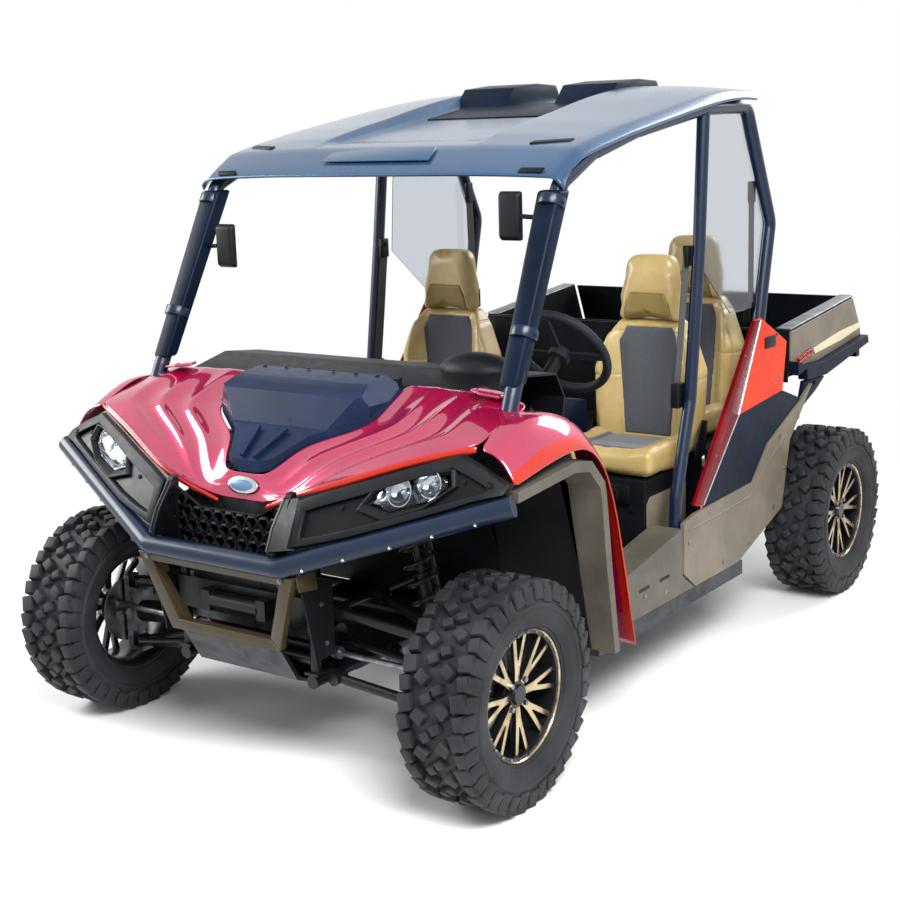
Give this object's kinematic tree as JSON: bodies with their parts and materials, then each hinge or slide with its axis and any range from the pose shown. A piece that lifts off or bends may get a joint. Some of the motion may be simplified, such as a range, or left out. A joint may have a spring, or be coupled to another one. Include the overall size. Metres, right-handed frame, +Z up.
{
  "type": "side by side utility vehicle",
  "caption": "Open four-wheeled utility vehicle with a tubular cage, bucket seats, steered front wheels and a tipping cargo bed.",
  "frame": {"origin": "on the ground under the middle of the vehicle's box", "axes": "+Z up, front towards -Y, the vehicle's left towards +X"},
  "size_m": [1.7832, 3.235, 1.996],
  "materials": {
    "tyre_rubber": "matt black rubber",
    "alloy": "machined and bronze alloy",
    "frame_black": "satin black powder coat",
    "cage_navy": "satin blue-black powder coat",
    "skid_grey": "worn grey plate",
    "engine_grey": "cast alloy",
    "spring_bronze": "bronze spring paint",
    "steel": "bare steel",
    "red_paint": "gloss metallic red",
    "orange_red": "gloss orange red",
    "black_plastic": "textured black",
    "navy_plastic": "textured blue black",
    "tan_plastic": "khaki moulded plastic",
    "roof_blue": "satin slate blue",
    "lamp_clear": "clear lens",
    "lamp_red": "red lens",
    "window_grey": "light grey clear sheet",
    "vinyl": "tan vinyl with grey panels",
    "guard_bronze": "bronze paint",
    "rail_grey": "grey anodised",
    "grip": "moulded grip"
  },
  "bodies": {
    "chassis": {"chassis_frame": "frame_black", "front_frame": "frame_black", "rear_frame": "frame_black", "radiator": "engine_grey", "winch": "frame_black", "pillar_covers": "navy_plastic", "quarter_scoops": "navy_plastic", "nose_panels": "black_plastic", "hitch_receiver": "frame_black", "skid_plate": "skid_grey", "engine_block": "engine_grey", "control_arms": "frame_black", "dampers": "frame_black", "springs": "spring_bronze", "final_drives": "frame_black", "rear_knuckles": "steel", "steering_rack": "frame_black", "steering_column": "frame_black", "roll_cage": "cage_navy", "roof_panel": "roof_blue", "hood": "red_paint", "front_fenders": "red_paint", "front_flares": "black_plastic", "arch_liners": "black_plastic", "front_fascia": "navy_plastic", "headlamps": "lamp_clear", "grille": "black_plastic", "front_bumper": "cage_navy", "bumper_guard": "guard_bronze", "storage_tub": "black_plastic", "dashboard": "black_plastic", "cab_floor": "black_plastic", "side_sills": "tan_plastic", "rocker_rails": "rail_grey", "seat_boxes": "black_plastic", "seat_cushions": "vinyl", "seat_backs": "vinyl", "rear_bulkhead": "black_plastic", "quarter_panels": "tan_plastic", "quarter_inserts": "orange_red", "quarter_windows": "window_grey", "mirrors": "black_plastic"},
    "wheel_front_left": {"rim_front_left": "alloy", "tyre_front_left": "tyre_rubber"},
    "wheel_front_right": {"rim_front_right": "alloy", "tyre_front_right": "tyre_rubber"},
    "wheel_rear_left": {"rim_rear_left": "alloy", "tyre_rear_left": "tyre_rubber"},
    "wheel_rear_right": {"rim_rear_right": "alloy", "tyre_rear_right": "tyre_rubber"},
    "steer_left": {"knuckle_left": "steel"},
    "steer_right": {"knuckle_right": "steel"},
    "rack_bar": {"tie_rods": "steel"},
    "helm": {"steering_wheel": "grip"},
    "front_lid": {"hood_lid": "navy_plastic"},
    "bed": {"cargo_bed": "black_plastic", "bed_sides": "tan_plastic", "bed_fenders": "navy_plastic", "tail_lamps": "lamp_red"},
    "gate": {"tailgate": "black_plastic"}
  },
  "joints": [
    {"name": "steering_left", "type": "hinge", "parent": "chassis", "child": "steer_left", "pos_m": [0.68, -1.2725, 0.33], "axis": [0, 0, 1], "range_deg": [-28, 28]},
    {"name": "steering_right", "type": "hinge", "parent": "chassis", "child": "steer_right", "pos_m": [-0.68, -1.2725, 0.33], "axis": [0, 0, 1], "range_deg": [-28, 28]},
    {"name": "rack_slide", "type": "slide", "parent": "chassis", "child": "rack_bar", "axis": [1, 0, 0], "range_m": [-0.057, 0.057]},
    {"name": "helm_turn", "type": "hinge", "parent": "chassis", "child": "helm", "pos_m": [0.4, -0.3125, 1.128], "axis": [0, 0.8192, 0.5736], "range_deg": [-272, 272]},
    {"name": "wheel_spin_front_left", "type": "hinge", "parent": "steer_left", "child": "wheel_front_left", "pos_m": [0.765, -1.2725, 0.33], "axis": [1, 0, 0], "continuous": true},
    {"name": "wheel_spin_front_right", "type": "hinge", "parent": "steer_right", "child": "wheel_front_right", "pos_m": [-0.765, -1.2725, 0.33], "axis": [1, 0, 0], "continuous": true},
    {"name": "wheel_spin_rear_left", "type": "hinge", "parent": "chassis", "child": "wheel_rear_left", "pos_m": [0.765, 1.0675, 0.33], "axis": [1, 0, 0], "continuous": true},
    {"name": "wheel_spin_rear_right", "type": "hinge", "parent": "chassis", "child": "wheel_rear_right", "pos_m": [-0.765, 1.0675, 0.33], "axis": [1, 0, 0], "continuous": true},
    {"name": "lid_hinge", "type": "hinge", "parent": "chassis", "child": "front_lid", "pos_m": [0, -1.0225, 1.127], "axis": [-1, 0, 0], "range_deg": [0, 60]},
    {"name": "bed_tip", "type": "hinge", "parent": "chassis", "child": "bed", "pos_m": [0, 1.4295, 0.815], "axis": [-1, 0, 0], "range_deg": [0, 45]},
    {"name": "gate_hinge", "type": "hinge", "parent": "bed", "child": "gate", "pos_m": [0, 1.6015, 0.88], "axis": [-1, 0, 0], "range_deg": [0, 90]}
  ],
  "couplings": [
    {"joint": "steering_right", "follows": "steering_left", "ratio": 1},
    {"joint": "rack_slide", "follows": "steering_left", "m_per_rad": 0.1135},
    {"joint": "helm_turn", "follows": "steering_left", "ratio": 9.6}
  ]
}
